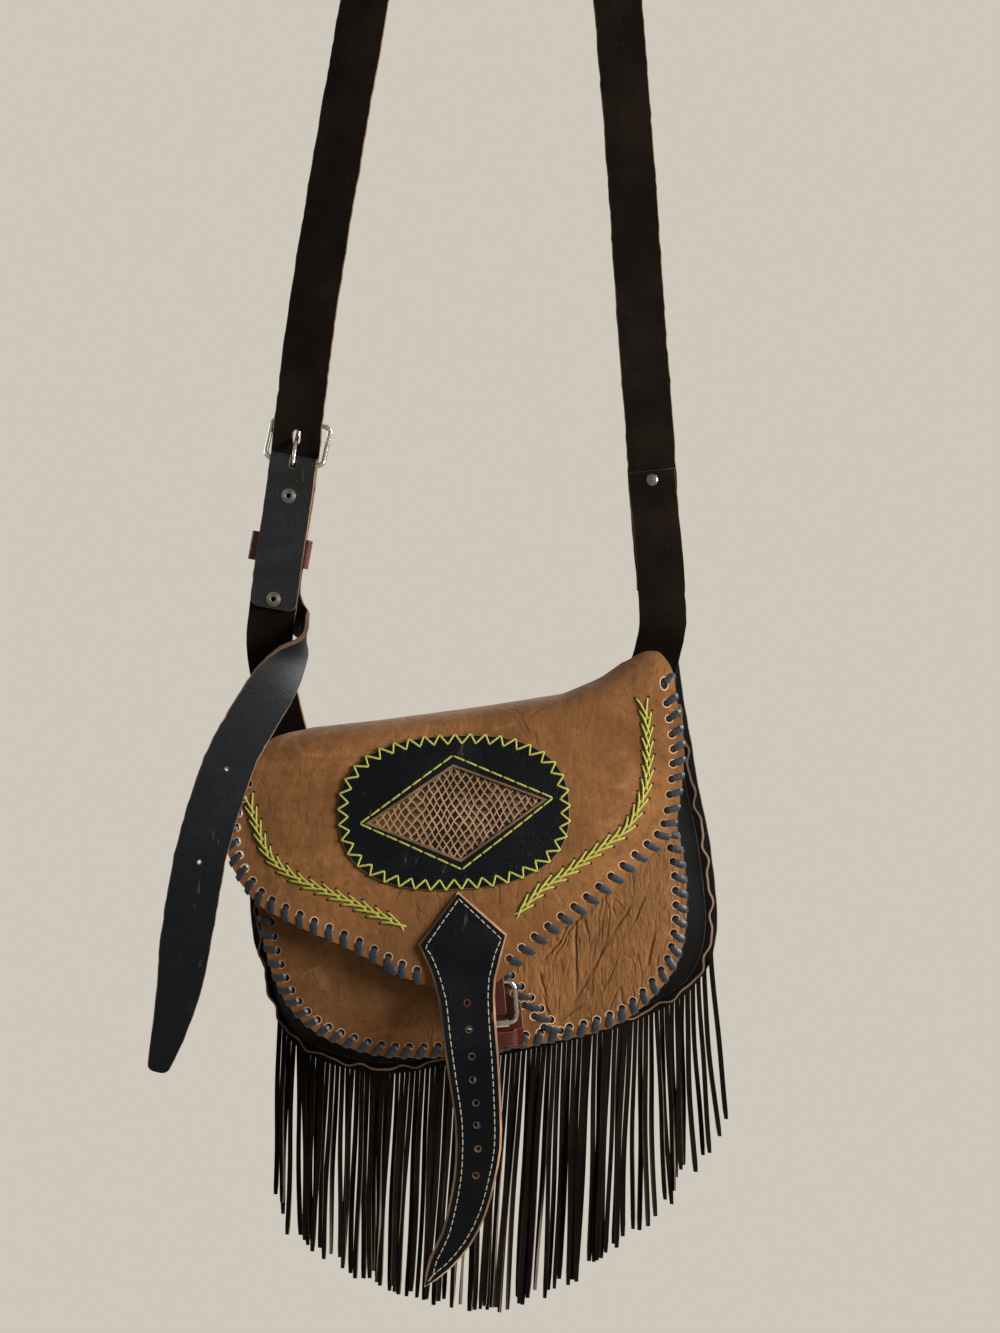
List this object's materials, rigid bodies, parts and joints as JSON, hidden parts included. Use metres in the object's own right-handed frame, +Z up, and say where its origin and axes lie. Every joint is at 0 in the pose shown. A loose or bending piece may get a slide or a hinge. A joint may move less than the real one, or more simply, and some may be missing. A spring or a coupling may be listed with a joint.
{
  "type": "fringed shoulder bag",
  "caption": "Suede shoulder bag with a laced front, a pointed flap with a closure strap, a deep leather fringe and a buckled shoulder strap, hanging by its strap.",
  "frame": {"origin": "inside of the strap's apex, where a peg holds the bag", "axes": "+Z up along the hanging bag, +Y to its back, +X to the right as the front is seen"},
  "size_m": [0.3414, 0.1087, 1.0586],
  "materials": {
    "suede_caramel": "rough suede",
    "leather_tan": "dull waxed",
    "leather_black": "satin",
    "leather_rough": "rough flesh side",
    "suede_black": "rough suede",
    "leather_burgundy": "satin",
    "leather_raw": "raw",
    "snakeskin": "satin",
    "nickel": "worn nickel",
    "dark_metal": "dark antique"
  },
  "bodies": {
    "bag": {"back_panel": "leather_black", "gusset": "suede_black", "front_panel_left": "suede_caramel", "front_panel_right": "leather_tan", "fringe": "leather_rough", "shoulder_strap": "leather_rough", "strap_left_tab": "leather_black", "tab_rivet_upper": "dark_metal", "tab_rivet_lower": "dark_metal", "strap_keeper": "leather_burgundy", "strap_buckle_frame": "nickel", "strap_buckle_tongue": "nickel", "strap_right_lower": "leather_rough", "strap_rivet": "dark_metal", "buckle_tab": "leather_burgundy", "closure_keeper": "leather_burgundy"},
    "flap": {"flap": "suede_caramel", "oval_patch": "leather_black", "snakeskin_inlay": "snakeskin", "closure_strap": "leather_black", "closure_strap_lining": "leather_raw"},
    "front_buckle": {"front_buckle_frame": "nickel"},
    "front_roller": {"front_buckle_roller": "nickel"},
    "front_tongue": {"front_buckle_tongue": "nickel"}
  },
  "joints": [
    {"name": "flap_hinge", "type": "hinge", "parent": "bag", "child": "flap", "pos_m": [0.00944, 0.024, -0.68481], "axis": [-0.9738, 0, -0.2275], "range_deg": [0, 25]},
    {"name": "front_buckle_hinge", "type": "hinge", "parent": "bag", "child": "front_buckle", "pos_m": [0.03044, -0.04272, -0.83081], "axis": [-0.9903, 0, -0.1392], "range_deg": [0, 20]},
    {"name": "front_tongue_hinge", "type": "hinge", "parent": "front_buckle", "child": "front_tongue", "pos_m": [0.03044, -0.04272, -0.83081], "axis": [-0.9903, 0, -0.1392], "range_deg": [0, 12]},
    {"name": "front_roller_turn", "type": "hinge", "parent": "front_buckle", "child": "front_roller", "pos_m": [0.03378, -0.04227, -0.85457], "axis": [-0.9903, 0, -0.1392], "continuous": true}
  ]
}
